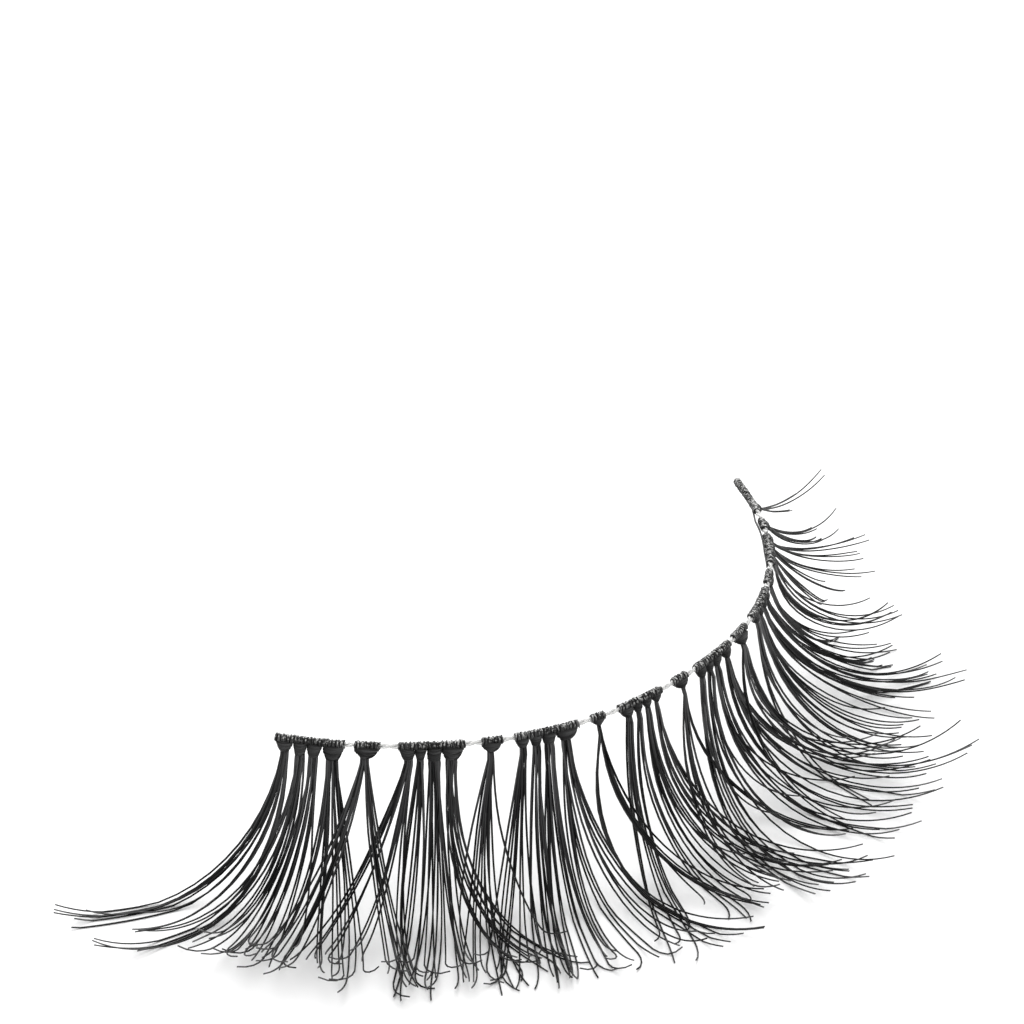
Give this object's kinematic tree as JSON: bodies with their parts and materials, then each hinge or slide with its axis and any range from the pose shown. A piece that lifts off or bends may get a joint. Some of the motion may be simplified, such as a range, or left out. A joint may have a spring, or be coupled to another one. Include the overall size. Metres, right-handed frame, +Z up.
{
  "type": "false eyelash strip",
  "caption": "Curved false eyelash strip: grouped and single knots of black hair tied round a clear thread, their locks curling down and outwards.",
  "frame": {"origin": "centre of the underside of the whole strip's box, on the surface that it lies on", "axes": "+X along the chord of the band, from the short-haired end to the long-haired end; +Y outwards, the way the locks point; +Z up from the surface"},
  "size_m": [0.0394, 0.0192, 0.0055],
  "materials": {
    "hair": "satin black hair",
    "thread": "clear two-ply thread"
  },
  "bodies": {
    "root": {"band_thread": "thread", "cluster_1": "hair", "cluster_2": "hair", "cluster_3": "hair", "cluster_4": "hair", "cluster_5": "hair", "cluster_6": "hair", "cluster_7": "hair", "cluster_8": "hair", "single_1": "hair", "single_2": "hair", "single_3": "hair", "single_4": "hair", "single_5": "hair", "single_6": "hair", "single_7": "hair"}
  },
  "joints": []
}
